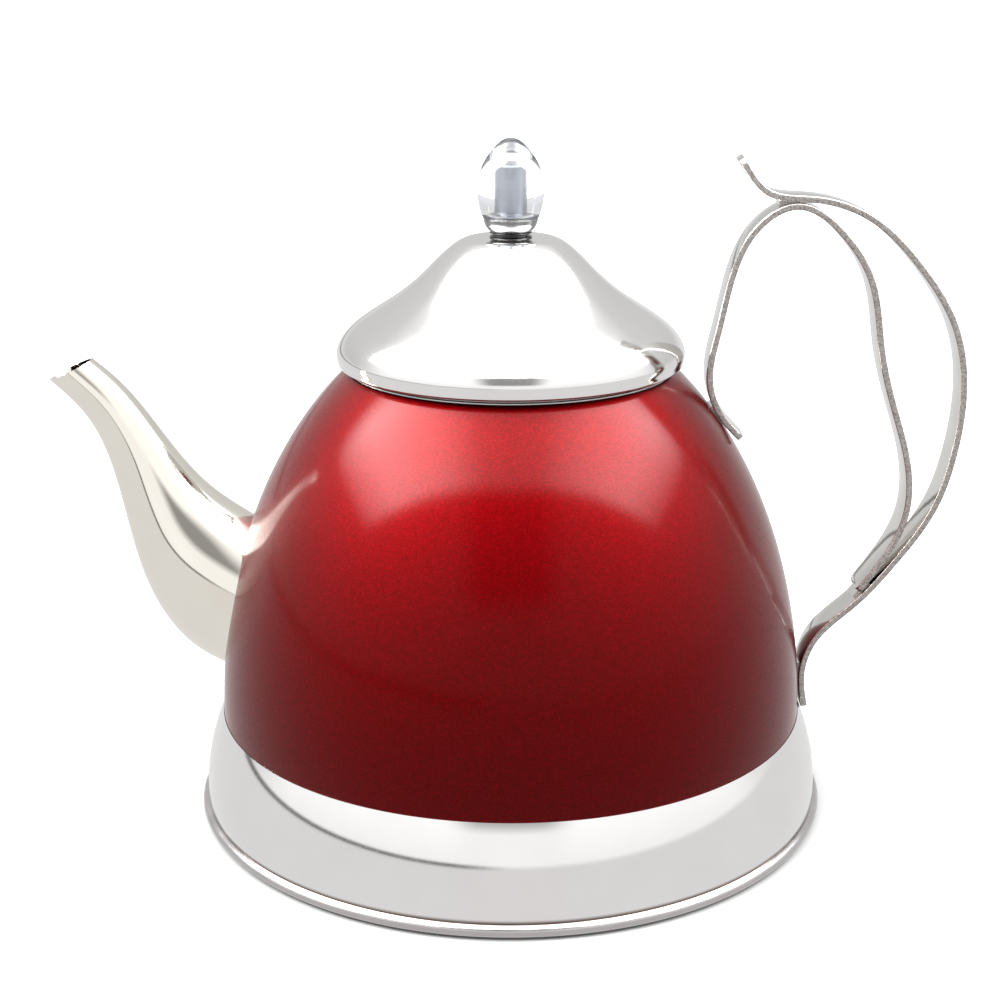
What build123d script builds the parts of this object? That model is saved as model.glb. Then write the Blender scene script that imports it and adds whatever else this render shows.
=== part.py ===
"""Small stovetop kettle: lacquered dome body, bare steel base, gooseneck spout, two-strip handle,
lift-off bell lid with an egg knob, and a lift-out infuser basket.

Millimetres. The origin is on the surface that the kettle stands on, under the middle of the base.
+Z is up, the handle is on +X and the spout on -X. Sections are drawn on the XZ plane.
"""

import os

from build123d import *

os.makedirs("parts", exist_ok=True)

# ---- driving dimensions -------------------------------------------------------------------
SHEET = 0.6  # drawn steel sheet of the body, spout and lid

# Base
BEAD_OUTER = 75.0  # outer radius of the rolled bead, the widest ring of the body
BEAD_R = 1.4
BEAD_Z = 1.9
PLATE_T = 0.8
CAP_R = 60.0  # capsule base that stands on the stove
CAP_T = 0.6
SKIRT_BOTTOM_R = 73.7
SKIRT_BULGE_Z = 4.0  # height where the skirt's curve is vertical
SKIRT_CURVE = 49.0
SKIRT_TOP_Z = 24.5

# Dome: half an ellipse, cut off below and above
DOME_R = 69.1
DOME_RISE = 99.0
DOME_CENTRE_Z = 23.0
DOME_TOP_Z = 105.9

# Mouth, basket and the lid's plug, from outside to inside
MOUTH_FLANGE_R = 37.6
MOUTH_BORE_R = 34.0
MOUTH_NECK_Z = 97.0
BASKET_FLANGE_R = 36.8
BASKET_R = 33.4
BASKET_T = 0.5
BASKET_FLOOR_Z = 47.4
BASKET_ROWS = 4
BASKET_ROW_PITCH = 7.5
BASKET_ROW_HOLES = 18
BASKET_HOLE_R = 1.6
FLOOR_RINGS = 4
PLUG_R = 32.4
PLUG_SHOULDER_R = 36.0
PLUG_BOTTOM_Z = 98.0
PLUG_TOP_Z = 115.65  # inside the lid's sheet, which trims the ring there

# Lid
LID_R = 40.0
LID_TOP_Z = 135.8
LID_FLAT_R = 9.0
# Middle line of the lid's sheet, from the edge of the flat top down to the hem
LID_CURVE = [
    (LID_FLAT_R, LID_TOP_Z - SHEET / 2),
    (13.6, 133.4),
    (19.5, 127.7),
    (26.7, 121.7),
    (34.7, 116.4),
    (38.8, 112.3),
    (LID_R - SHEET / 2, 109.4),
    (39.5, 108.0),
]
HEM_R = 0.8
HEM_CENTRE = (39.0, 108.0)
SCREW_HOLE_R = 2.15

# Knob
COLLAR_R = 4.8
COLLAR_TOP_Z = 137.1
COLLAR_GROOVE_R = 0.25
CUP_FOOT_R = 4.5
CUP_TOP_R = 6.2
CUP_TOP_Z = 140.0
EGG_CURVE = [
    (CUP_TOP_R, CUP_TOP_Z),
    (7.1, 142.6),
    (7.62, 146.8),
    (6.5, 151.8),
    (4.3, 155.3),
    (2.5, 157.1),
    (0, 158.0),
]
INSERT_R = 3.0
INSERT_TOP_Z = 151.5
SCREW_R = 2.0
SCREW_TOP_Z = 148.0
SCREW_HEAD_R = 3.6
SCREW_HEAD_H = 2.4
SLOT_W = 1.0
SLOT_DEPTH = 1.2
WASHER_R = 4.5
WASHER_T = 0.8

# Spout: sections from the slanted mouth down into the dome, each with its highest point, its lowest
# point and its width as a share of its height
SPOUT_SECTIONS = [
    ((-96.5, 107.6), (-106.6, 102.9), 0.90),
    ((-89.7, 101.3), (-99.1, 95.1), 1.00),
    ((-84.1, 94.1), (-95.2, 87.8), 1.00),
    ((-77.5, 84.6), (-92.3, 78.0), 0.97),
    ((-70.3, 76.4), (-89.6, 65.0), 0.93),
    ((-61.9, 70.2), (-85.1, 50.5), 0.88),
    ((-53.0, 64.8), (-75.5, 37.6), 0.84),
    ((-44.0, 60.5), (-62.0, 30.8), 0.82),
]
STRAINER_Z = 53.0
STRAINER_HOLE_R = 1.8
STRAINER_PITCH = 5.2

# Handle: two bent strips, drawn as the middle line of each
STRIP_T = 1.5
STRIP_W = 9.0
OUTER_STRIP = [
    (71.0, 22.3),
    (69.95, 31.0),
    (72.8, 40.0),
    (81.1, 48.4),
    (91.0, 60.0),
    (98.9, 72.5),
    (103.0, 87.0),
    (104.0, 102.0),
    (101.0, 116.0),
    (92.3, 129.6),
    (80.5, 140.6),
    (67.2, 144.8),
    (57.6, 146.2),
    (51.2, 153.7),
]
INNER_STRIP = [
    (82.4, 52.2),
    (88.2, 60.8),
    (92.2, 69.6),
    (92.5, 82.0),
    (88.2, 97.1),
    (84.6, 110.6),
    (81.6, 126.0),
    (75.0, 136.5),
    (63.8, 143.2),
    (55.1, 138.1),
    (50.2, 128.2),
    (47.3, 115.0),
    (45.7, 103.0),
    (48.3, 95.4),
    (53.4, 89.5),
]

# Weld pads between the strips and the dome: middle of each, and its tilt from upright
WELDS = [
    ((69.0, 31.0), 0.0),
    ((47.8, 95.0), -38.0),
    ((83.4, 52.0), 37.0),
    ((62.5, 144.0), 90.0),
]
WELD_LENGTH = 5.0
WELD_WIDTH = 6.0
WELD_DEPTH = 1.4  # reaches into both pieces, which trim it

# ---- derived dimensions -------------------------------------------------------------------
BEAD_CENTRE_R = BEAD_OUTER - BEAD_R
PLATE_TOP_Z = BEAD_Z + BEAD_R
PLATE_Z = PLATE_TOP_Z - PLATE_T
SKIRT_CURVE_CENTRE_R = SKIRT_BOTTOM_R - SKIRT_CURVE
FLANGE_TOP_Z = DOME_TOP_Z + SHEET
BASKET_TOP_Z = FLANGE_TOP_Z + SHEET
SHOULDER_TOP_Z = BASKET_TOP_Z + SHEET
LID_UNDER_Z = LID_TOP_Z - SHEET
WASHER_Z = LID_UNDER_Z - WASHER_T


def ring(inner, outer, low, high, mode=Mode.ADD):
    """One rectangle of a turned section: radii inner to outer, heights low to high."""
    with Locations(((inner + outer) / 2, (low + high) / 2)):
        Rectangle(outer - inner, high - low, mode=mode)


def dome_section(inset=0.0, mode=Mode.ADD):
    """The dome's full ellipse, drawn inset inside its outer face."""
    with Locations((0, DOME_CENTRE_Z)):
        Ellipse(DOME_R - inset, DOME_RISE - inset, mode=mode)


# ---- base ---------------------------------------------------------------------------------
# Steel cap of the sandwich base. Its underside is what the kettle stands on.
with BuildPart() as disc_cap:
    with BuildSketch(Plane.XZ):
        ring(0, CAP_R, 0, PLATE_Z)
        ring(0, CAP_R - CAP_T, CAP_T, PLATE_Z, mode=Mode.SUBTRACT)
    revolve(axis=Axis.Z)
disc_cap.part.label = "disc_cap"
export_step(disc_cap.part, "parts/disc_cap.step")

# Aluminium disc that spreads the heat and fills the cap
with BuildPart() as heat_disc:
    with BuildSketch(Plane.XZ):
        ring(0, CAP_R - CAP_T, CAP_T, PLATE_Z)
    revolve(axis=Axis.Z)
heat_disc.part.label = "heat_disc"
export_step(heat_disc.part, "parts/heat_disc.step")

# Floor of the kettle, with the rolled bead round its edge
with BuildPart() as bottom_plate:
    with BuildSketch(Plane.XZ):
        ring(0, BEAD_CENTRE_R, PLATE_Z, PLATE_TOP_Z)
        with Locations((BEAD_CENTRE_R, BEAD_Z)):
            Circle(BEAD_R)
    revolve(axis=Axis.Z)
bottom_plate.part.label = "bottom_plate"
export_step(bottom_plate.part, "parts/bottom_plate.step")

# Bare steel skirt that spreads from the dome down to the bead
with BuildPart() as base_skirt:
    with BuildSketch(Plane.XZ):
        with Locations((SKIRT_CURVE_CENTRE_R, SKIRT_BULGE_Z)):
            Circle(SKIRT_CURVE)
            Circle(SKIRT_CURVE - SHEET, mode=Mode.SUBTRACT)
        ring(SKIRT_CURVE_CENTRE_R, BEAD_OUTER, PLATE_TOP_Z, SKIRT_TOP_Z, mode=Mode.INTERSECT)
    revolve(axis=Axis.Z)
base_skirt.part.label = "base_skirt"
export_step(base_skirt.part, "parts/base_skirt.step")

# ---- body ---------------------------------------------------------------------------------
# Dome shell, with a rosette of strainer holes behind the spout
with BuildPart() as body_shell:
    with BuildSketch(Plane.XZ):
        dome_section()
        dome_section(SHEET, mode=Mode.SUBTRACT)
        ring(0, DOME_R, SKIRT_TOP_Z, DOME_TOP_Z, mode=Mode.INTERSECT)
    revolve(axis=Axis.Z)
    with BuildSketch(Plane.YZ):
        with Locations((0, STRAINER_Z)):
            Circle(STRAINER_HOLE_R)
            with PolarLocations(STRAINER_PITCH, 6):
                Circle(STRAINER_HOLE_R)
            with PolarLocations(2 * STRAINER_PITCH, 12):
                Circle(STRAINER_HOLE_R)
    extrude(amount=-DOME_R, mode=Mode.SUBTRACT)
body_shell.part.label = "body_shell"
export_step(body_shell.part, "parts/body_shell.step")

# Everything inside the dome's outer face: a cutter for the pieces that are joined on to it
with BuildPart() as dome_cutter:
    with BuildSketch(Plane.XZ):
        dome_section()
        ring(0, DOME_R, 0, DOME_CENTRE_Z + DOME_RISE, mode=Mode.INTERSECT)
    revolve(axis=Axis.Z)

# Bare steel ring let into the mouth: a flange on the dome's edge and a neck below it
with BuildPart() as mouth_ring:
    with BuildSketch(Plane.XZ):
        ring(MOUTH_BORE_R, MOUTH_FLANGE_R, DOME_TOP_Z, FLANGE_TOP_Z)
        ring(MOUTH_BORE_R, MOUTH_BORE_R + SHEET, MOUTH_NECK_Z, FLANGE_TOP_Z)
    revolve(axis=Axis.Z)
mouth_ring.part.label = "mouth_ring"
export_step(mouth_ring.part, "parts/mouth_ring.step")

# Spout: a tapering bent tube, open at both ends, which stops at the dome
with BuildPart() as spout:
    for inset, mode in ((0, Mode.ADD), (SHEET, Mode.SUBTRACT)):
        for (top_x, top_z), (low_x, low_z), width in SPOUT_SECTIONS:
            rise = Vector(top_x - low_x, 0, top_z - low_z)
            middle = Vector(low_x, 0, low_z) + rise / 2
            across = Vector(0, 1, 0)
            with BuildSketch(Plane(middle, x_dir=across, z_dir=across.cross(rise))):
                Ellipse(rise.length / 2 * width - inset, rise.length / 2 - inset)
        loft(mode=mode)
    add(dome_cutter.part, mode=Mode.SUBTRACT)
spout.part.label = "spout"
export_step(spout.part, "parts/spout.step")

# ---- handle -------------------------------------------------------------------------------
# Outer strip: from the foot of the dome round the back and over the top to a curled end
with BuildPart() as handle_outer_strip:
    with BuildSketch(Plane.XZ):
        with BuildLine():
            Spline(OUTER_STRIP)
        trace(line_width=STRIP_T)
    extrude(amount=STRIP_W / 2, both=True)
handle_outer_strip.part.label = "handle_outer_strip"
export_step(handle_outer_strip.part, "parts/handle_outer_strip.step")

# Inner strip: up inside the outer one, over the top and down to the dome's shoulder
with BuildPart() as handle_inner_strip:
    with BuildSketch(Plane.XZ):
        with BuildLine():
            Spline(INNER_STRIP)
        trace(line_width=STRIP_T)
    extrude(amount=STRIP_W / 2, both=True)
handle_inner_strip.part.label = "handle_inner_strip"
export_step(handle_inner_strip.part, "parts/handle_inner_strip.step")

# Weld pads, where the strips meet the dome and each other
with BuildPart() as handle_welds:
    for (x, z), tilt in WELDS:
        with Locations(Location((x, 0, z), (0, tilt, 0))):
            Box(WELD_DEPTH, WELD_WIDTH, WELD_LENGTH)
    add(handle_outer_strip.part, mode=Mode.SUBTRACT)
    add(handle_inner_strip.part, mode=Mode.SUBTRACT)
    add(dome_cutter.part, mode=Mode.SUBTRACT)
handle_welds.part.label = "handle_welds"
export_step(handle_welds.part, "parts/handle_welds.step")

# ---- lid ----------------------------------------------------------------------------------
# Bell-shaped lid of one sheet, hemmed round its edge
with BuildPart() as lid_shell:
    with BuildSketch(Plane.XZ):
        with BuildLine():
            Spline(LID_CURVE, tangents=((1, 0), (0, -1)))
        trace(line_width=SHEET)
        ring(SCREW_HOLE_R, LID_FLAT_R, LID_UNDER_Z, LID_TOP_Z)
        with Locations(HEM_CENTRE):
            Circle(HEM_R)
    revolve(axis=Axis.Z)
lid_shell.part.label = "lid_shell"
export_step(lid_shell.part, "parts/lid_shell.step")

# Stepped ring under the lid: it rests on the basket's flange and plugs into the basket
with BuildPart() as lid_plug_ring:
    with BuildSketch(Plane.XZ):
        ring(PLUG_R - SHEET, PLUG_R, PLUG_BOTTOM_Z, SHOULDER_TOP_Z)
        ring(PLUG_R - SHEET, PLUG_SHOULDER_R, BASKET_TOP_Z, SHOULDER_TOP_Z)
        ring(PLUG_SHOULDER_R - SHEET, PLUG_SHOULDER_R, BASKET_TOP_Z, PLUG_TOP_Z)
    revolve(axis=Axis.Z)
    add(lid_shell.part, mode=Mode.SUBTRACT)
lid_plug_ring.part.label = "lid_plug_ring"
export_step(lid_plug_ring.part, "parts/lid_plug_ring.step")

# ---- knob ---------------------------------------------------------------------------------
# Grooved collar on the flat top of the lid
with BuildPart() as knob_collar:
    with BuildSketch(Plane.XZ):
        ring(SCREW_HOLE_R, COLLAR_R, LID_TOP_Z, COLLAR_TOP_Z)
        with Locations((COLLAR_R, (LID_TOP_Z + COLLAR_TOP_Z) / 2)):
            Circle(COLLAR_GROOVE_R, mode=Mode.SUBTRACT)
    revolve(axis=Axis.Z)
knob_collar.part.label = "knob_collar"
export_step(knob_collar.part, "parts/knob_collar.step")

# Turned cup that carries the egg
with BuildPart() as knob_cup:
    with BuildSketch(Plane.XZ):
        with BuildLine():
            flare = Spline((CUP_FOOT_R, COLLAR_TOP_Z), (CUP_TOP_R, CUP_TOP_Z), tangents=((1, 0.6), (0.1, 1)))
            Polyline(flare @ 1, (SCREW_HOLE_R, CUP_TOP_Z), (SCREW_HOLE_R, COLLAR_TOP_Z), flare @ 0)
        make_face()
    revolve(axis=Axis.Z)
knob_cup.part.label = "knob_cup"
export_step(knob_cup.part, "parts/knob_cup.step")

# Threaded tube moulded into the egg
with BuildPart() as knob_insert:
    with BuildSketch(Plane.XZ):
        ring(0, INSERT_R, CUP_TOP_Z, INSERT_TOP_Z)
        ring(0, SCREW_R, CUP_TOP_Z, SCREW_TOP_Z, mode=Mode.SUBTRACT)
    revolve(axis=Axis.Z)
knob_insert.part.label = "knob_insert"
export_step(knob_insert.part, "parts/knob_insert.step")

# Clear egg, cut flat where it sits on the cup and bored for the insert
with BuildPart() as knob_egg:
    with BuildSketch(Plane.XZ):
        with BuildLine():
            side = Spline(EGG_CURVE, tangents=((0.6, 1), (-1, 0)))
            Polyline(side @ 1, (0, INSERT_TOP_Z), (INSERT_R, INSERT_TOP_Z), (INSERT_R, CUP_TOP_Z), side @ 0)
        make_face()
    revolve(axis=Axis.Z)
knob_egg.part.label = "knob_egg"
export_step(knob_egg.part, "parts/knob_egg.step")

# Slotted screw, from inside the lid up into the insert
with BuildPart() as knob_screw:
    with BuildSketch(Plane.XZ):
        ring(0, SCREW_R, WASHER_Z, SCREW_TOP_Z)
        ring(0, SCREW_HEAD_R, WASHER_Z - SCREW_HEAD_H, WASHER_Z)
    revolve(axis=Axis.Z)
    with Locations((0, 0, WASHER_Z - SCREW_HEAD_H)):
        Box(2 * SCREW_HEAD_R, SLOT_W, 2 * SLOT_DEPTH, mode=Mode.SUBTRACT)
knob_screw.part.label = "knob_screw"
export_step(knob_screw.part, "parts/knob_screw.step")

# Washer under the screw's head
with BuildPart() as knob_washer:
    with BuildSketch(Plane.XZ):
        ring(SCREW_HOLE_R, WASHER_R, WASHER_Z, LID_UNDER_Z)
    revolve(axis=Axis.Z)
knob_washer.part.label = "knob_washer"
export_step(knob_washer.part, "parts/knob_washer.step")

# ---- infuser basket -----------------------------------------------------------------------
# Flange that hangs the basket on the mouth
with BuildPart() as infuser_rim:
    with BuildSketch(Plane.XZ):
        ring(BASKET_R, BASKET_FLANGE_R, FLANGE_TOP_Z, BASKET_TOP_Z)
    revolve(axis=Axis.Z)
infuser_rim.part.label = "infuser_rim"
export_step(infuser_rim.part, "parts/infuser_rim.step")

# Perforated side of the basket
with BuildPart() as infuser_wall:
    with BuildSketch(Plane.XZ):
        ring(BASKET_R - BASKET_T, BASKET_R, BASKET_FLOOR_Z + BASKET_T, BASKET_TOP_Z)
    revolve(axis=Axis.Z)
    for row in range(BASKET_ROWS):
        row_z = BASKET_FLOOR_Z + (row + 1) * BASKET_ROW_PITCH
        half_pitch = 180 / BASKET_ROW_HOLES
        with Locations((0, 0, row_z)):
            with PolarLocations(BASKET_R, BASKET_ROW_HOLES, start_angle=half_pitch * (row % 2)):
                Cylinder(BASKET_HOLE_R, 4 * BASKET_T, rotation=(0, 90, 0), mode=Mode.SUBTRACT)
infuser_wall.part.label = "infuser_wall"
export_step(infuser_wall.part, "parts/infuser_wall.step")

# Perforated floor of the basket
with BuildPart() as infuser_floor:
    with BuildSketch(Plane.XY.offset(BASKET_FLOOR_Z)):
        Circle(BASKET_R)
        Circle(BASKET_HOLE_R, mode=Mode.SUBTRACT)
        for step in range(1, FLOOR_RINGS + 1):
            with PolarLocations(step * BASKET_ROW_PITCH, 6 * step):
                Circle(BASKET_HOLE_R, mode=Mode.SUBTRACT)
    extrude(amount=BASKET_T)
infuser_floor.part.label = "infuser_floor"
export_step(infuser_floor.part, "parts/infuser_floor.step")
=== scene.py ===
"""Looks of the stovetop kettle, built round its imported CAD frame.

Lengths are written in millimetres, as in the CAD source, and turned into metres where the meshes
are made. The kettle's axis is Z, the handle is on +X and the spout on -X.
"""

import math

import bpy
import numpy as np
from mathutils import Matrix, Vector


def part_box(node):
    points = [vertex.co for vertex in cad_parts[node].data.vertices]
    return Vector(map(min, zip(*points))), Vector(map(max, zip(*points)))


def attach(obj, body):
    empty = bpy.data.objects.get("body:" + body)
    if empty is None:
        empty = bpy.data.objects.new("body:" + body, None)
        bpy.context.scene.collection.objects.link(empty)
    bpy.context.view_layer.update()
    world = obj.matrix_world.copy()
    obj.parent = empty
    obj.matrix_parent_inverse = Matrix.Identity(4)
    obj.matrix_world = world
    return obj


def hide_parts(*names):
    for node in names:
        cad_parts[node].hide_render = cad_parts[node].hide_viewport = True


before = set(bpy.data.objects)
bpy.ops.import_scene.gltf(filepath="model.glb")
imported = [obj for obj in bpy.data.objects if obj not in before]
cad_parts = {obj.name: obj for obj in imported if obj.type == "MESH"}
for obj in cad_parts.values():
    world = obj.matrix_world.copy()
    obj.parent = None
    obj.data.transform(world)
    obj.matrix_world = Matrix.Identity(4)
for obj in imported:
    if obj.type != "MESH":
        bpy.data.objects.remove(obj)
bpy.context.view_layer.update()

MM = 0.001
TURNS = 256  # faces round a turned piece


# ---- sizes from the frame -----------------------------------------------------------------
def reach(node):
    """Outer radius, lowest and highest point of a turned CAD node, in millimetres."""
    low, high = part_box(node)
    return high.x / MM, low.z / MM, high.z / MM


BEAD_OUTER, BEAD_LOW, PLATE_TOP = reach("bottom_plate")
CAP_R, CAP_LOW, CAP_TOP = reach("disc_cap")
SKIRT_R, SKIRT_LOW, SKIRT_TOP = reach("base_skirt")
DOME_R, DOME_LOW, DOME_TOP = reach("body_shell")
FLANGE_R, NECK_LOW, FLANGE_TOP = reach("mouth_ring")
LID_R, _, LID_TOP = reach("lid_shell")
COLLAR_R, COLLAR_LOW, COLLAR_TOP = reach("knob_collar")
CUP_R, CUP_LOW, CUP_TOP = reach("knob_cup")
EGG_R, EGG_LOW, EGG_TOP = reach("knob_egg")
_, _, INSERT_TOP = reach("knob_insert")

# Sizes that the nodes' boxes don't give, in millimetres.
SHEET = 0.6
CAP_EDGE_R = 0.8  # rounding of the base cap
PLATE_FLAT_R = 60.0  # the floor is flat as far as this
BEAD_R = (PLATE_TOP - BEAD_LOW) / 2
SKIRT_CURVE = 49.0  # radius of the skirt's bulge
SKIRT_BULGE_Z = 4.0  # height at which the skirt is widest
DOME_RISE = 99.0  # half height of the ellipse that the dome follows
DOME_CENTRE_Z = 23.0
MOUTH_BORE_R = 34.0
FLANGE_EDGE_R = 0.3
STRAINER_Z = 53.0
STRAINER_R = 1.8
STRAINER_PITCH = 5.2
STRIP_T = 1.5
STRIP_W = 9.0
STRIP_EDGE_R = 0.3
STRIP_CORNER_R = 1.2  # at both ends
HEM_CENTRE = (39.0, 108.0)
HEM_R = 0.8
SCREW_HOLE_R = 2.15
COLLAR_EDGE_R = 0.2
COLLAR_GROOVE = (0.6, 0.38)  # depth and half height
CUP_CROWN = 2.3  # rise of the cup's domed top
CORE_R = 2.45
CORE_EDGE = 0.3
CORE_GAP = 0.5  # from the cup's rim up to the core
EGG_GAP = 0.02  # keeps the egg's face off the cup's


# ---- drawing lines ------------------------------------------------------------------------
def smooth_line(points, count, start=None, end=None):
    """count points on the twice-smooth curve through points; start and end fix its directions."""
    p = np.array(points, float)
    gaps = np.linalg.norm(np.diff(p, axis=0), axis=1)
    at = np.concatenate([[0], np.cumsum(gaps)])
    n = len(p)
    matrix = np.zeros((n, n))
    right = np.zeros((n, p.shape[1]))
    for i in range(1, n - 1):
        matrix[i, i - 1 : i + 2] = gaps[i], 2 * (gaps[i - 1] + gaps[i]), gaps[i - 1]
        right[i] = 3 * (
            gaps[i] * (p[i] - p[i - 1]) / gaps[i - 1] + gaps[i - 1] * (p[i + 1] - p[i]) / gaps[i]
        )
    for i, j, way in ((0, 1, start), (n - 1, n - 2, end)):
        if way is None:
            matrix[i, i], matrix[i, j] = 2, 1
            right[i] = 3 * (p[j] - p[i]) / (at[j] - at[i])
        else:
            matrix[i, i] = 1
            right[i] = np.array(way, float) / np.linalg.norm(way)
    slope = np.linalg.solve(matrix, right)
    where = np.linspace(0, at[-1], count)
    k = np.clip(np.searchsorted(at, where, "right") - 1, 0, n - 2)
    t = ((where - at[k]) / gaps[k])[:, None]
    g = gaps[k][:, None]
    return (
        (2 * t**3 - 3 * t**2 + 1) * p[k]
        + (t**3 - 2 * t**2 + t) * g * slope[k]
        + (3 * t**2 - 2 * t**3) * p[k + 1]
        + (t**3 - t**2) * g * slope[k + 1]
    )


def arc(centre, radii, start, stop, count):
    """count points of an arc of an ellipse, with angles in degrees from +r towards +z."""
    a = np.radians(np.linspace(start, stop, count))
    return np.column_stack([centre[0] + radii[0] * np.cos(a), centre[1] + radii[1] * np.sin(a)])


def beside(line, distance):
    """The line moved sideways by distance, to the left of its own direction."""
    way = np.gradient(line, axis=0)
    way /= np.linalg.norm(way, axis=1)[:, None]
    return line + distance * np.column_stack([-way[:, 1], way[:, 0]])


def sheet_outline(line, thickness):
    """Closed outline of a sheet that lies to the left of line."""
    return np.vstack([line, beside(line, thickness)[::-1]])


# ---- making meshes ------------------------------------------------------------------------
def mesh_object(name, points, faces, sharp=35):
    """A smooth-shaded object whose edges stay sharp above that many degrees."""
    mesh = bpy.data.meshes.new(name)
    mesh.from_pydata([tuple(p) for p in np.asarray(points) * MM], [], faces)
    mesh.validate()
    mesh.shade_smooth()
    mesh.set_sharp_from_angle(angle=math.radians(sharp))
    obj = bpy.data.objects.new(name, mesh)
    bpy.context.scene.collection.objects.link(obj)
    return obj


def turned(name, outline, sharp=35):
    """A turned solid: the closed outline of radii and heights, taken round the Z axis."""
    points, rings = [], []
    for r, z in outline:
        if r < 1e-6:
            rings.append([len(points)] * TURNS)
            points.append((0, 0, z))
            continue
        rings.append(list(range(len(points), len(points) + TURNS)))
        for i in range(TURNS):
            a = 2 * math.pi * i / TURNS
            points.append((r * math.cos(a), r * math.sin(a), z))
    faces = []
    for low, high in zip(rings, rings[1:] + rings[:1]):
        for i in range(TURNS):
            j = (i + 1) % TURNS
            face = list(dict.fromkeys((low[i], low[j], high[j], high[i])))
            if len(face) > 2:
                faces.append(face)
    return mesh_object(name, points, faces, sharp)


def skin(name, loops, sharp=35, closed=False):
    """A surface through loops of equal length, with flat ends unless it closes on itself."""
    n = len(loops[0])
    points = np.vstack(loops)
    faces = []
    count = len(points)
    for k in range(len(loops) if closed else len(loops) - 1):
        for i in range(n):
            j = (i + 1) % n
            corners = (k * n + i, k * n + j, (k + 1) * n + j, (k + 1) * n + i)
            faces.append([corner % count for corner in corners])
    if not closed:
        last = (len(loops) - 1) * n
        faces.append(tuple(range(n - 1, -1, -1)))
        faces.append(tuple(range(last, last + n)))
    return mesh_object(name, points, faces, sharp)


def place(obj, body, slot, *nodes):
    """Ride on a body and stand for CAD nodes; slot is not used."""
    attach(obj, body)
    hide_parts(*nodes)
    return obj


# ---- materials ----------------------------------------------------------------------------
STEEL = (0.79, 0.78, 0.77)
# painted reflection: steel tinted cream, standing for a warm surround mirrored in the spout
STEEL_PAINTED_CREAM_REFLECTION = (0.82, 0.785, 0.71)
DULL_STEEL = (0.5, 0.48, 0.475)
INNER_STEEL = (0.58, 0.57, 0.56)
DARK_STEEL = (0.24, 0.245, 0.25)
CORE_STEEL = (0.22, 0.23, 0.25)
# painted shade: near-black steel colour standing for the dark line of the collar's groove
GROOVE_PAINTED_SHADE = (0.07, 0.07, 0.07)
ALUMINIUM = (0.80, 0.81, 0.82)
# painted shade: colour of the crease where the skirt meets the bead
SEAM_PAINTED_SHADE = (0.17, 0.13, 0.11)
# painted shade: grey put on the acrylic's outline
ACRYLIC_RIM_PAINTED_SHADE = (0.42, 0.42, 0.46)
TURNING_LINES = (1, 1, 6)  # stretch of the noise that draws lines round a turned piece


def new_material(name):
    """An empty node material: its nodes, links and shader."""
    material = bpy.data.materials.new(name)
    material.use_nodes = True
    tree = material.node_tree
    return material, tree.nodes, tree.links, tree.nodes["Principled BSDF"]


def coordinates(nodes, links, kind):
    """The X, Y and Z sockets of one kind of texture coordinate."""
    where = nodes.new("ShaderNodeTexCoord")
    axes = nodes.new("ShaderNodeSeparateXYZ")
    links.new(where.outputs[kind], axes.inputs["Vector"])
    return [axes.outputs[name] for name in "XYZ"]


def noise(nodes, links, scale, detail=2.0, stretch=(1, 1, 1)):
    """A noise texture in the object's own space, scale in features per metre."""
    where = nodes.new("ShaderNodeTexCoord")
    mapping = nodes.new("ShaderNodeMapping")
    mapping.inputs["Scale"].default_value = stretch
    texture = nodes.new("ShaderNodeTexNoise")
    texture.inputs["Scale"].default_value = scale
    texture.inputs["Detail"].default_value = detail
    links.new(where.outputs["Object"], mapping.inputs["Vector"])
    links.new(mapping.outputs["Vector"], texture.inputs["Vector"])
    return texture


def ramp(nodes, links, source, stops):
    """A colour ramp fed by source; stops are position and colour."""
    node = nodes.new("ShaderNodeValToRGB")
    elements = node.color_ramp.elements
    while len(elements) < len(stops):
        elements.new(0.5)
    for element, (position, colour) in zip(elements, stops):
        element.position = position
        element.color = (*colour, 1)
    links.new(source, node.inputs["Fac"])
    return node.outputs["Color"]


def grey(value):
    """A colour without hue."""
    return (value, value, value)


def bump(nodes, links, height, strength, distance, normal=None):
    """A bump node; distance is in metres."""
    node = nodes.new("ShaderNodeBump")
    node.inputs["Strength"].default_value = strength
    node.inputs["Distance"].default_value = distance
    links.new(height, node.inputs["Height"])
    if normal is not None:
        links.new(normal, node.inputs["Normal"])
    return node.outputs["Normal"]


def arithmetic(nodes, links, operation, *values):
    """A Math node fed by sockets or numbers."""
    node = nodes.new("ShaderNodeMath")
    node.operation = operation
    for socket, value in zip(node.inputs, values):
        if isinstance(value, (int, float)):
            socket.default_value = value
        else:
            links.new(value, socket)
    return node.outputs["Value"]


def fade(nodes, links, value, start, end, low=0.0, high=1.0, shape="SMOOTHSTEP"):
    """Step from low, where value is start, to high, where it is end; smooth unless it is LINEAR."""
    node = nodes.new("ShaderNodeMapRange")
    node.interpolation_type = shape
    links.new(value, node.inputs["Value"])
    node.inputs["From Min"].default_value = start
    node.inputs["From Max"].default_value = end
    node.inputs["To Min"].default_value = low
    node.inputs["To Max"].default_value = high
    return node.outputs["Result"]


def blend(nodes, links, factor, first, second):
    """A colour Mix node; its second input is a socket or a colour."""
    node = nodes.new("ShaderNodeMix")
    node.data_type = "RGBA"
    links.new(factor, node.inputs["Factor"])
    links.new(first, node.inputs["A"])
    if isinstance(second, tuple):
        node.inputs["B"].default_value = (*second, 1)
    else:
        links.new(second, node.inputs["B"])
    return node.outputs["Result"]


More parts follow.
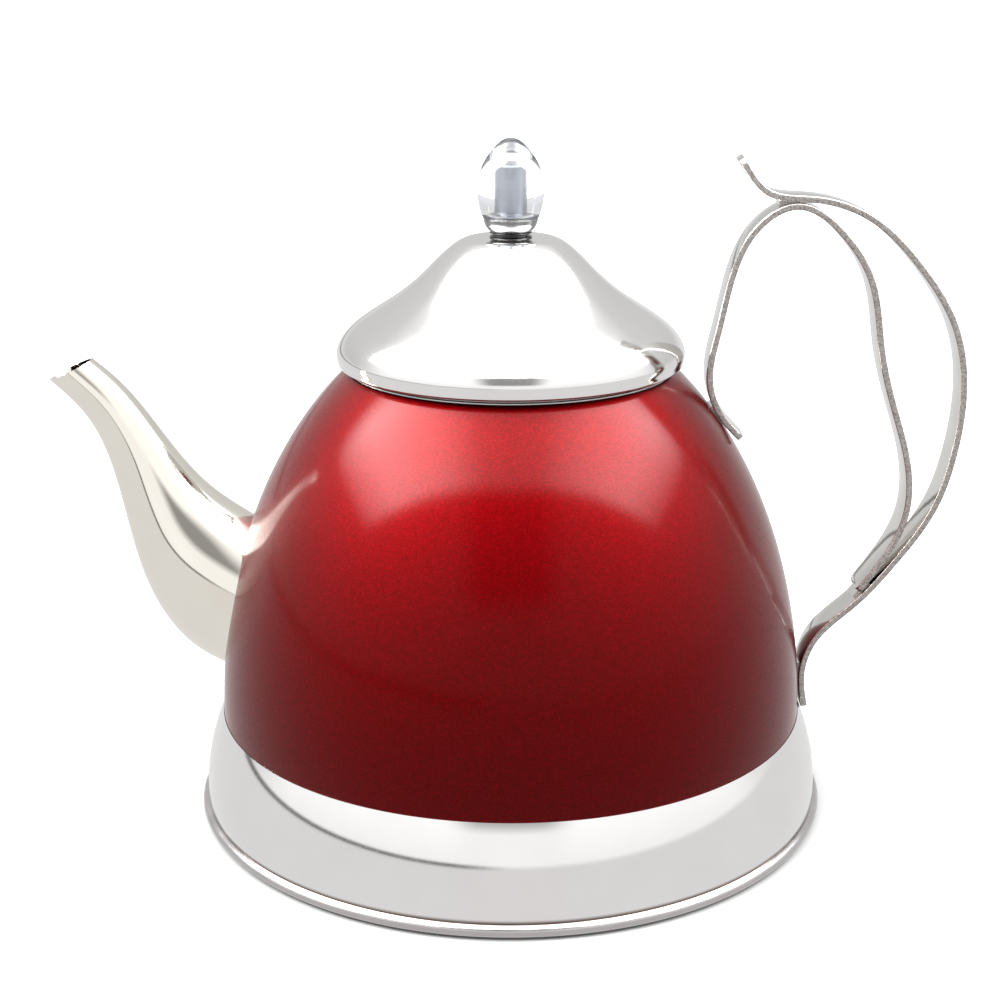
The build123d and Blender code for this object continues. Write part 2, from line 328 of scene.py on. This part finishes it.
def polished(name, colour, smoothest, roughest, dents=0.00002, shade_heights=None):
    """Mirror-polished steel: fine changes of roughness, and a surface that isn't quite even.

    dents is the depth of its waves in metres. Towards its bottom edge the colour is darkened, a
    painted shade for the crease where the piece meets the bead; the two heights given, in metres,
    are those between which this painted shade gives way to clean metal.
    """
    material, nodes, links, shader = new_material(name)
    shader.inputs["Metallic"].default_value = 1
    cloud = noise(nodes, links, 90, 3)
    tint = ramp(
        nodes,
        links,
        cloud.outputs["Fac"],
        [(0.3, tuple(0.97 * c for c in colour)), (0.7, colour)],
    )
    if shade_heights:
        _, _, z = coordinates(nodes, links, "Object")
        # painted shade: the colour darkens into the crease at the bottom edge
        tint = blend(nodes, links, fade(nodes, links, z, shade_heights[1], shade_heights[0]), tint, SEAM_PAINTED_SHADE)
    links.new(tint, shader.inputs["Base Color"])
    fine = noise(nodes, links, 2600, 2)
    grades = [(0.35, grey(smoothest)), (0.7, grey(roughest))]
    rough = ramp(nodes, links, fine.outputs["Fac"], grades)
    links.new(rough, shader.inputs["Roughness"])
    wave = noise(nodes, links, 45, 1)
    links.new(bump(nodes, links, wave.outputs["Fac"], 0.25, dents), shader.inputs["Normal"])
    return material


def satin(name, colour, roughness, lines=(1, 1, 40)):
    """Drawn or turned metal; lines is the stretch of the noise that draws its fine lines."""
    material, nodes, links, shader = new_material(name)
    shader.inputs["Metallic"].default_value = 1
    cloud = noise(nodes, links, 60, 3)
    tint = ramp(
        nodes,
        links,
        cloud.outputs["Fac"],
        [(0.3, tuple(0.9 * c for c in colour)), (0.7, colour)],
    )
    links.new(tint, shader.inputs["Base Color"])
    streak = noise(nodes, links, 120, 4, lines)
    rough = ramp(
        nodes,
        links,
        streak.outputs["Fac"],
        [(0.3, grey(roughness * 0.8)), (0.7, grey(roughness * 1.3))],
    )
    links.new(rough, shader.inputs["Roughness"])
    links.new(bump(nodes, links, streak.outputs["Fac"], 0.3, 0.00003), shader.inputs["Normal"])
    return material


def strip_finish():
    """Polished broad faces, and duller, slightly pitted edges where the strip was cut."""
    material, nodes, links, shader = new_material("strip_steel")
    shader.inputs["Metallic"].default_value = 1
    _, y, _ = coordinates(nodes, links, "Normal")
    sideways = arithmetic(nodes, links, "ABSOLUTE", y)
    edge = ramp(nodes, links, sideways, [(0.55, grey(0)), (0.8, grey(1))])
    pits = noise(nodes, links, 3000, 2)
    dull = ramp(
        nodes,
        links,
        pits.outputs["Fac"],
        [(0.35, (0.22, 0.195, 0.18)), (0.5, (0.34, 0.315, 0.30)), (0.65, (0.45, 0.43, 0.41))],
    )
    cloud = noise(nodes, links, 120, 2)
    bright = ramp(
        nodes,
        links,
        cloud.outputs["Fac"],
        [(0.3, (0.64, 0.62, 0.59)), (0.7, (0.70, 0.68, 0.65))],
    )
    links.new(blend(nodes, links, edge, bright, dull), shader.inputs["Base Color"])
    rough = fade(nodes, links, edge, 0.0, 1.0, 0.07, 0.42, shape="LINEAR")
    links.new(rough, shader.inputs["Roughness"])
    ripple = noise(nodes, links, 260, 2)
    waved = bump(nodes, links, ripple.outputs["Fac"], 0.3, 0.00006)
    pitted = bump(nodes, links, pits.outputs["Fac"], 0.15, 0.00003, waved)
    links.new(pitted, shader.inputs["Normal"])
    return material


def lacquer():
    """Candy-red lacquer: fine metal flake under a clear glossy coat with slight orange peel."""
    material, nodes, links, shader = new_material("red_lacquer")
    shader.inputs["Metallic"].default_value = 1
    shader.inputs["Coat Weight"].default_value = 1
    shader.inputs["Coat Roughness"].default_value = 0.12
    shader.inputs["Coat IOR"].default_value = 1.16
    flake = nodes.new("ShaderNodeTexVoronoi")
    flake.inputs["Scale"].default_value = 5000
    where = nodes.new("ShaderNodeTexCoord")
    links.new(where.outputs["Object"], flake.inputs["Vector"])
    split = nodes.new("ShaderNodeSeparateColor")
    links.new(flake.outputs["Color"], split.inputs["Color"])
    colour = ramp(
        nodes,
        links,
        split.outputs["Red"],
        [(0.0, (0.056, 0.0, 0.0002)), (0.6, (0.078, 0.0, 0.0005)), (1.0, (0.11, 0.0002, 0.001))],
    )
    links.new(colour, shader.inputs["Base Color"])
    rough = ramp(nodes, links, split.outputs["Green"], [(0.0, grey(0.5)), (1.0, grey(0.62))])
    links.new(rough, shader.inputs["Roughness"])
    peel = noise(nodes, links, 700, 2)
    links.new(bump(nodes, links, peel.outputs["Fac"], 0.2, 0.00001), shader.inputs["Coat Normal"])
    return material


def acrylic():
    """Clear cast acrylic with a faint cool cast, and painted shade greying its outline."""
    material, nodes, links, shader = new_material("clear_acrylic")
    shader.inputs["Transmission Weight"].default_value = 1
    shader.inputs["IOR"].default_value = 1.49
    cloud = noise(nodes, links, 200, 2)
    tint = ramp(
        nodes,
        links,
        cloud.outputs["Fac"],
        [(0.3, (0.93, 0.94, 0.99)), (0.7, (0.97, 0.98, 1.0))],
    )
    # painted shade: the colour greys towards the outline, where dark surroundings would show
    # through
    edge = nodes.new("ShaderNodeLayerWeight")
    edge.inputs["Blend"].default_value = 0.35
    rim = fade(nodes, links, edge.outputs["Facing"], 0.45, 0.85)
    tint = blend(nodes, links, rim, tint, ACRYLIC_RIM_PAINTED_SHADE)
    links.new(tint, shader.inputs["Base Color"])
    rough = ramp(nodes, links, cloud.outputs["Fac"], [(0.3, grey(0.06)), (0.7, grey(0.1))])
    links.new(rough, shader.inputs["Roughness"])
    return material


lid_steel = polished("lid_steel", STEEL, 0.08, 0.13)
# painted reflection: the spout's cream tint beyond plain steel stands for a warm surround
spout_steel = polished("spout_steel", STEEL_PAINTED_CREAM_REFLECTION, 0.03, 0.07)
# the skirt's bottom millimetre is painted dark: painted shade in the crease above the bead
skirt_steel = polished("skirt_steel", STEEL, 0.04, 0.09, shade_heights=(0.0034, 0.0044))
bead_steel = satin("bead_steel", DULL_STEEL, 0.22, TURNING_LINES)
knob_steel = satin("knob_steel", DARK_STEEL, 0.25, TURNING_LINES)
# painted shade: the collar's steel is darkened to show its shaded groove
collar_painted_shade_steel = satin("collar_painted_shade_steel", GROOVE_PAINTED_SHADE, 0.3, TURNING_LINES)
strip_steel = strip_finish()
inner_steel = satin("inner_steel", INNER_STEEL, 0.28)
aluminium = satin("aluminium_core", ALUMINIUM, 0.35)
insert_steel = satin("insert_steel", CORE_STEEL, 0.38)
red = lacquer()
clear = acrylic()


def paint(obj, material):
    """Give an object one material."""
    obj.data.materials.clear()
    obj.data.materials.append(material)
    return obj


def keep_node(node, material):
    """A CAD node whose shape is kept, with a finished material in each of its slots."""
    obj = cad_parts[node]
    for material_slot in obj.material_slots:
        material_slot.material = material


# ---- camera -------------------------------------------------------------------------------
def make_camera():
    """A view square to the spout and handle, from a little above."""
    look_down = 17.1
    data = bpy.data.cameras.new("camera")
    data.sensor_width = 36
    data.lens = 66.3
    data.shift_x = -0.0108
    camera = bpy.data.objects.new("camera", data)
    camera.location = (0, -0.4155, 0.2014)
    camera.rotation_euler = (math.radians(90 - look_down), 0, 0)
    bpy.context.scene.collection.objects.link(camera)
    bpy.context.scene.camera = camera


# ---- base ---------------------------------------------------------------------------------
def make_base():
    """Capsule base, floor with its bead, and the skirt."""
    edge_r = CAP_R - CAP_EDGE_R
    cap = turned(
        "base_cap",
        np.vstack(
            [
                [(0, CAP_LOW), (edge_r, CAP_LOW)],
                arc((edge_r, CAP_LOW + CAP_EDGE_R), (CAP_EDGE_R, CAP_EDGE_R), -80, 0, 8),
                [(CAP_R, CAP_TOP), (CAP_R - SHEET, CAP_TOP), (CAP_R - SHEET, CAP_LOW + SHEET)],
                [(0, CAP_LOW + SHEET)],
            ]
        ),
    )
    place(paint(cap, inner_steel), "kettle", "inner_steel", "disc_cap")
    keep_node("heat_disc", aluminium)

    centre_r = BEAD_OUTER - BEAD_R
    bead_z = BEAD_LOW + BEAD_R
    plate_low = CAP_TOP
    inside = math.degrees(math.asin((plate_low - bead_z) / BEAD_R))
    floor = turned(
        "floor_and_bead",
        np.vstack(
            [
                [(0, plate_low), (PLATE_FLAT_R, plate_low)],
                arc((centre_r, bead_z), (BEAD_R, BEAD_R), 180 - inside, 450, 40),
                [(PLATE_FLAT_R, PLATE_TOP), (0, PLATE_TOP)],
            ]
        ),
        sharp=50,
    )
    place(paint(floor, bead_steel), "kettle", "polished_steel", "bottom_plate")

    curve_r = SKIRT_R - SKIRT_CURVE
    top = math.degrees(math.asin((SKIRT_TOP - SKIRT_BULGE_Z) / SKIRT_CURVE))
    low = math.degrees(math.asin((SKIRT_LOW - SKIRT_BULGE_Z) / SKIRT_CURVE))
    line = arc((curve_r, SKIRT_BULGE_Z), (SKIRT_CURVE, SKIRT_CURVE), low, top, 40)
    skirt = turned("skirt", sheet_outline(line, SHEET), sharp=50)
    place(paint(skirt, skirt_steel), "kettle", "polished_steel", "base_skirt")


# ---- body ---------------------------------------------------------------------------------
def bore_strainer(dome):
    """Drill the rosette of strainer holes behind the spout."""
    rings = ((1, 0.0), (6, STRAINER_PITCH), (12, 2 * STRAINER_PITCH))
    places = [
        (ring_r * math.cos(a), ring_r * math.sin(a))
        for count, ring_r in rings
        for a in (2 * math.pi * i / count for i in range(count))
    ]
    sides = 32
    drill_span = (-0.8 * DOME_R, -1.1 * DOME_R)
    points, faces = [], []
    for y, z in places:
        first = len(points)
        for x in drill_span:
            for i in range(sides):
                a = 2 * math.pi * i / sides
                rim = (x, y + STRAINER_R * math.cos(a), STRAINER_Z + z + STRAINER_R * math.sin(a))
                points.append(rim)
        low, high = list(range(first, first + sides)), list(range(first + sides, first + 2 * sides))
        for i in range(sides):
            j = (i + 1) % sides
            faces.append((low[i], low[j], high[j], high[i]))
        faces += [low[::-1], high]
    drill = mesh_object("drill", points, faces)
    cut = dome.modifiers.new("strainer", "BOOLEAN")
    cut.object = drill
    cut.solver = "EXACT"
    bpy.context.view_layer.objects.active = dome
    bpy.ops.object.modifier_apply(modifier=cut.name)
    bpy.data.objects.remove(drill)


def make_body():
    """Lacquered dome and the bare ring in its mouth."""
    first = math.degrees(math.asin((DOME_LOW - DOME_CENTRE_Z) / DOME_RISE))
    last = math.degrees(math.asin((DOME_TOP - DOME_CENTRE_Z) / DOME_RISE))
    outer = arc((0, DOME_CENTRE_Z), (DOME_R, DOME_RISE), first, last, 90)
    inner = arc((0, DOME_CENTRE_Z), (DOME_R - SHEET, DOME_RISE - SHEET), first, last, 90)
    dome = turned("dome", np.vstack([outer, inner[::-1]]), sharp=50)
    bore_strainer(dome)
    place(paint(dome, red), "kettle", "red_lacquer", "body_shell")

    edge_r = FLANGE_R - FLANGE_EDGE_R
    ring = turned(
        "mouth_ring_bright",
        np.vstack(
            [
                [(MOUTH_BORE_R, NECK_LOW), (MOUTH_BORE_R + SHEET, NECK_LOW)],
                [(MOUTH_BORE_R + SHEET, DOME_TOP), (edge_r, DOME_TOP)],
                arc((edge_r, DOME_TOP + FLANGE_EDGE_R), (FLANGE_EDGE_R, FLANGE_EDGE_R), -60, 90, 8),
                [(MOUTH_BORE_R, FLANGE_TOP)],
            ]
        ),
    )
    place(paint(ring, inner_steel), "kettle", "inner_steel", "mouth_ring")


# ---- spout --------------------------------------------------------------------------------
# Sections from the mouth to the root: upper point and lower point (x, z), and width over height.
SPOUT_SECTIONS = [
    ((-96.5, 107.6), (-106.6, 102.9), 0.90),
    ((-89.7, 101.3), (-99.1, 95.1), 1.00),
    ((-84.1, 94.1), (-95.2, 87.8), 1.00),
    ((-77.5, 84.6), (-92.3, 78.0), 0.97),
    ((-70.3, 76.4), (-89.6, 65.0), 0.93),
    ((-61.9, 70.2), (-85.1, 50.5), 0.88),
    ((-53.0, 64.8), (-75.5, 37.6), 0.84),
    ((-44.0, 60.5), (-62.0, 30.8), 0.82),
]


def spout_face(inset, around, along):
    """Loops of the spout's face from its mouth to the dome, inset inside the outer one."""
    fine = 600  # steps along the curve before it is cut off at the dome
    points = [(*high, *low, share) for high, low, share in SPOUT_SECTIONS]
    top, bottom, share = np.split(smooth_line(points, fine), (2, 4), axis=1)
    middle = (top + bottom) / 2
    rise = (top - bottom) / 2
    half = np.linalg.norm(rise, axis=1)[:, None]
    columns = []
    for i in range(around):
        a = 2 * math.pi * i / around
        side = math.cos(a) * (half * share - inset)
        up = middle + math.sin(a) * rise * (half - inset) / half
        line = np.column_stack([up[:, 0], side[:, 0], up[:, 1]])
        heights = np.clip((line[:, 2] - DOME_CENTRE_Z) / DOME_RISE, -1, 1)
        inside = np.hypot(line[:, 0], line[:, 1]) < DOME_R * np.sqrt(1 - heights**2)
        line = line[: np.argmax(inside) + 1]
        steps = np.linspace(0, len(line) - 1, along)
        columns.append(
            np.column_stack([np.interp(steps, range(len(line)), line[:, k]) for k in range(3)])
        )
    return np.stack(columns, axis=1)


def make_spout():
    """The tube, its outside and inside joined round the lip and round the root."""
    around, along = 96, 120
    outer = spout_face(0, around, along)
    inner = spout_face(SHEET, around, along)
    loops = list(outer[::-1]) + list(inner)
    spout = skin("spout_tube", loops, sharp=50, closed=True)
    place(paint(spout, spout_steel), "kettle", "polished_steel", "spout")


# ---- handle -------------------------------------------------------------------------------
# Points (x, z) of the strips' middle lines.
OUTER_STRIP = [
    (71.0, 22.3),
    (69.95, 31.0),
    (72.8, 40.0),
    (81.1, 48.4),
    (91.0, 60.0),
    (98.9, 72.5),
    (103.0, 87.0),
    (104.0, 102.0),
    (101.0, 116.0),
    (92.3, 129.6),
    (80.5, 140.6),
    (67.2, 144.8),
    (57.6, 146.2),
    (51.2, 153.7),
]
INNER_STRIP = [
    (82.4, 52.2),
    (88.2, 60.8),
    (92.2, 69.6),
    (92.5, 82.0),
    (88.2, 97.1),
    (84.6, 110.6),
    (81.6, 126.0),
    (75.0, 136.5),
    (63.8, 143.2),
    (55.1, 138.1),
    (50.2, 128.2),
    (47.3, 115.0),
    (45.7, 103.0),
    (48.3, 95.4),
    (53.4, 89.5),
]


def strip(name, points, node):
    """A flat strip bent along points, with softened edges and rounded corners at both ends."""
    line = smooth_line(points, 260)
    way = np.gradient(line, axis=0)
    way /= np.linalg.norm(way, axis=1)[:, None]
    across = np.column_stack([-way[:, 1], way[:, 0]])
    run = np.concatenate([[0], np.cumsum(np.linalg.norm(np.diff(line, axis=0), axis=1))])
    section = []
    for sy, sn, start in ((1, 1, 0), (-1, 1, 90), (-1, -1, 180), (1, -1, 270)):
        for step in range(5):
            a = math.radians(start + 22.5 * step)
            y = sy * (STRIP_W / 2 - STRIP_EDGE_R) + STRIP_EDGE_R * math.cos(a)
            n = sn * (STRIP_T / 2 - STRIP_EDGE_R) + STRIP_EDGE_R * math.sin(a)
            section.append((y, n))
    loops = []
    for k in range(len(line)):
        from_end = min(run[k], run[-1] - run[k])
        lost = 0.0
        if from_end < STRIP_CORNER_R:
            short = STRIP_CORNER_R - from_end
            lost = STRIP_CORNER_R - math.sqrt(STRIP_CORNER_R**2 - short**2)
        narrow = (STRIP_W / 2 - lost) / (STRIP_W / 2)
        loops.append(
            [
                (line[k, 0] + across[k, 0] * n, y * narrow, line[k, 1] + across[k, 1] * n)
                for y, n in section
            ]
        )
    obj = skin(name, np.array(loops), sharp=50)
    return place(paint(obj, strip_steel), "kettle", "strip_steel", node)


def make_handle():
    """Both strips, and the weld pads as they are."""
    strip("outer_strip", OUTER_STRIP, "handle_outer_strip")
    strip("inner_strip", INNER_STRIP, "handle_inner_strip")
    keep_node("handle_welds", strip_steel)


# ---- lid and knob -------------------------------------------------------------------------
def make_lid():
    """The bell, hemmed all round, and the ring inside it."""
    middle = smooth_line(
        [
            (9.0, LID_TOP - SHEET / 2),
            (13.6, 133.4),
            (19.5, 127.7),
            (26.7, 121.7),
            (34.7, 116.4),
            (38.8, 112.3),
            (LID_R - SHEET / 2, 109.4),
            (39.5, HEM_CENTRE[1]),
        ],
        110,
        (1, 0),
        (0, -1),
    )
    outline = np.vstack(
        [
            [(SCREW_HOLE_R, LID_TOP)],
            beside(middle, SHEET / 2)[:-1],
            arc(HEM_CENTRE, (HEM_R, HEM_R), 0, -180, 20),
            arc(HEM_CENTRE, (HEM_R, HEM_R), 180, 95, 8),
            beside(middle, -SHEET / 2)[-6::-1],
            [(SCREW_HOLE_R, LID_TOP - SHEET)],
        ]
    )
    bell = turned("lid_bell", outline, sharp=50)
    place(paint(bell, lid_steel), "lid", "polished_steel", "lid_shell")
    keep_node("lid_plug_ring", inner_steel)


def make_knob():
    """Collar, cup, egg and what holds them."""
    groove_z = (COLLAR_LOW + COLLAR_TOP) / 2
    edge = (COLLAR_EDGE_R, COLLAR_EDGE_R)
    edge_r = COLLAR_R - COLLAR_EDGE_R
    collar = turned(
        "knob_collar_ring",
        np.vstack(
            [
                [(SCREW_HOLE_R, COLLAR_LOW)],
                arc((edge_r, COLLAR_LOW + COLLAR_EDGE_R), edge, -90, 0, 5),
                arc((COLLAR_R - 0.1, groove_z), COLLAR_GROOVE, -90, -270, 9),
                arc((edge_r, COLLAR_TOP - COLLAR_EDGE_R), edge, 0, 90, 5),
                [(SCREW_HOLE_R, COLLAR_TOP)],
            ]
        ),
    )
    # the whole collar wears the painted shade of its groove
    place(paint(collar, collar_painted_shade_steel), "lid", "polished_steel", "knob_collar")

    side = smooth_line([(4.5, CUP_LOW), (5.6, 138.2), (CUP_R, CUP_TOP)], 24, (1, 0.5), (0.1, 1))
    crown = arc((0, CUP_TOP), (CUP_R - 0.3, CUP_CROWN), 0, 62, 16)
    cup = turned("knob_cup_bowl", np.vstack([[(SCREW_HOLE_R, CUP_LOW)], side, crown]))
    place(paint(cup, knob_steel), "lid", "polished_steel", "knob_cup")

    egg_low = EGG_LOW + EGG_GAP
    egg_side = smooth_line(
        [
            (CUP_R, egg_low),
            (7.1, 142.6),
            (EGG_R, 146.8),
            (6.5, 151.8),
            (4.3, 155.3),
            (2.5, 157.1),
            (0, EGG_TOP),
        ],
        70,
        (0.6, 1),
        (-1, 0),
    )
    egg_side[-1, 0] = 0  # exactly on the axis
    egg = turned("knob_egg_clear", np.vstack([[(0, egg_low)], egg_side]), sharp=50)
    place(paint(egg, clear), "lid", "clear_acrylic", "knob_egg")

    core_low = CUP_TOP + CORE_GAP
    core = turned(
        "knob_core",
        [
            (0, core_low),
            (CORE_R, core_low),
            (CORE_R, INSERT_TOP - CORE_EDGE),
            (CORE_R - CORE_EDGE, INSERT_TOP),
            (0, INSERT_TOP),
        ],
    )
    place(paint(core, insert_steel), "lid", "insert_steel", "knob_insert")
    for node in ("knob_screw", "knob_washer"):
        keep_node(node, insert_steel)


def make_basket():
    """The infuser keeps its CAD shape."""
    for node in ("infuser_rim", "infuser_wall", "infuser_floor"):
        keep_node(node, inner_steel)


# ---- studio -------------------------------------------------------------------------------
FLOOR_HALF = 20000  # millimetres
# painted contact shadow: the floor glows only beyond these radii, leaving a dim ring round the base
FLOOR_LIT = (0.072, 0.11)  # the floor starts to glow this far from the axis, in metres
FLOOR_GLOW = 0.85

# Colours of the surround's walls from its lowest point, 0, past the horizon, 0.5, to its highest,
# 1. The front is the camera's side, -Y.
FRONT_WALL = [
    (0.485, (0.86, 0.84, 0.84)),
    (0.505, grey(1.15)),
    (0.64, grey(1.15)),
    (0.7, grey(0.36)),
]
SIDE_WALL = [(0.485, (0.87, 0.86, 0.86)), (0.505, grey(1.15)), (0.7, grey(1.3))]
BACK_WALL = [(0.5, grey(0.85)), (0.57, grey(0.68)), (0.8, grey(0.78)), (0.92, grey(1.25))]
HORIZON_LINE = grey(0.03)

# Glow of the roof against |x|/z, as shares of ROOF_REACH.
ROOF_REACH = 3.0
ROOF_GLOW = [(0.0, 6.0), (0.08, 7.5), (0.2, 19.0), (0.33, 26.0), (0.42, 26.0), (0.7, 0.0)]


def make_floor():
    """A plain pale floor, lit from within beyond the kettle like a sheet of white acrylic."""
    material, nodes, links, shader = new_material("floor")
    speck = noise(nodes, links, 30, 2)
    tint = ramp(nodes, links, speck.outputs["Fac"], [(0.3, grey(0.2)), (0.7, grey(0.206))])
    links.new(tint, shader.inputs["Base Color"])
    shader.inputs["Roughness"].default_value = 0.9
    shader.inputs["Specular IOR Level"].default_value = 0
    where = nodes.new("ShaderNodeTexCoord")
    distance = nodes.new("ShaderNodeVectorMath")
    distance.operation = "LENGTH"
    links.new(where.outputs["Object"], distance.inputs[0])
    # painted shadow: no glow next to the base, rising to full glow a little beyond it
    lit = fade(nodes, links, distance.outputs["Value"], *FLOOR_LIT, 0.0, FLOOR_GLOW)
    links.new(lit, shader.inputs["Emission Strength"])
    shader.inputs["Emission Color"].default_value = (1, 1, 1, 1)
    corners = [(-1, -1, 0), (1, -1, 0), (1, 1, 0), (-1, 1, 0)]
    floor = mesh_object("floor", np.array(corners) * FLOOR_HALF, [(0, 1, 2, 3)])
    paint(floor, material)
    floor.visible_glossy = False  # polished pieces reflect the surround's lower half instead


def surround_walls(nodes, links, x, y, z):
    """Pale walls and floor, with a thin dark line at the horizon on the spout's side."""
    level = fade(nodes, links, z, -1.0, 1.0, shape="LINEAR")
    front, side, back = (
        ramp(nodes, links, level, stops) for stops in (FRONT_WALL, SIDE_WALL, BACK_WALL)
    )
    sideways = arithmetic(nodes, links, "ABSOLUTE", x)
    front = blend(nodes, links, fade(nodes, links, sideways, 0.18, 0.42), front, side)
    walls = blend(nodes, links, fade(nodes, links, y, -0.1, 0.6), front, back)
    rise = fade(nodes, links, z, -0.045, -0.018)
    fall = fade(nodes, links, z, 0.014, -0.012)
    left = fade(nodes, links, x, 0.05, -0.35, 0.0, 0.8)
    line = arithmetic(nodes, links, "MULTIPLY", rise, fall)
    line = arithmetic(nodes, links, "MULTIPLY", line, left)
    return blend(nodes, links, line, walls, HORIZON_LINE)


def surround_roof(nodes, links, x, y, z):
    """The glowing roof: its glow from side to side, and the factor that bounds it.

    Directions (x, y, z) are laid flat on the roof as |x|/z, across, and y/z, along.
    """
    depth = arithmetic(nodes, links, "MAXIMUM", z, 0.05)
    sideways = arithmetic(nodes, links, "ABSOLUTE", x)
    across = arithmetic(nodes, links, "DIVIDE", sideways, depth)
    along = arithmetic(nodes, links, "DIVIDE", y, depth)
    share = arithmetic(nodes, links, "DIVIDE", across, ROOF_REACH)
    glow = ramp(nodes, links, share, [(at, grey(value)) for at, value in ROOF_GLOW])
    near_slant = arithmetic(nodes, links, "MULTIPLY", across, -0.12)
    near = arithmetic(nodes, links, "ADD", along, near_slant)
    far_slant = arithmetic(nodes, links, "MULTIPLY", across, -0.27)
    far = arithmetic(nodes, links, "ADD", along, far_slant)
    bounds = (
        fade(nodes, links, near, -0.92, -0.74),
        fade(nodes, links, far, 0.5, 0.0),
        fade(nodes, links, z, 0.12, 0.24),
        fade(nodes, links, x, -0.5, 0.5, 1.2, 0.9),
    )
    window = bounds[0]
    for bound in bounds[1:]:
        window = arithmetic(nodes, links, "MULTIPLY", window, bound)
    return glow, window


def make_light():
    """Soft studio surround: walls and floor under a wide glowing roof; the camera sees white."""
    world = bpy.data.worlds.new("surround")
    bpy.context.scene.world = world
    world.use_nodes = True
    nodes, links = world.node_tree.nodes, world.node_tree.links
    x, y, z = coordinates(nodes, links, "Generated")
    walls = surround_walls(nodes, links, x, y, z)
    glow, window = surround_roof(nodes, links, x, y, z)
    total = nodes.new("ShaderNodeVectorMath")
    total.operation = "MULTIPLY_ADD"
    for socket, part in zip(total.inputs, (glow, window, walls)):
        links.new(part, socket)
    seen = nodes.new("ShaderNodeLightPath")
    colour = blend(nodes, links, seen.outputs["Is Camera Ray"], total.outputs["Vector"], grey(1.0))
    links.new(colour, nodes["Background"].inputs["Color"])


make_camera()
make_base()
make_body()
make_spout()
make_handle()
make_lid()
make_knob()
make_basket()
make_floor()
make_light()
bpy.context.scene.view_settings.view_transform = "Standard"
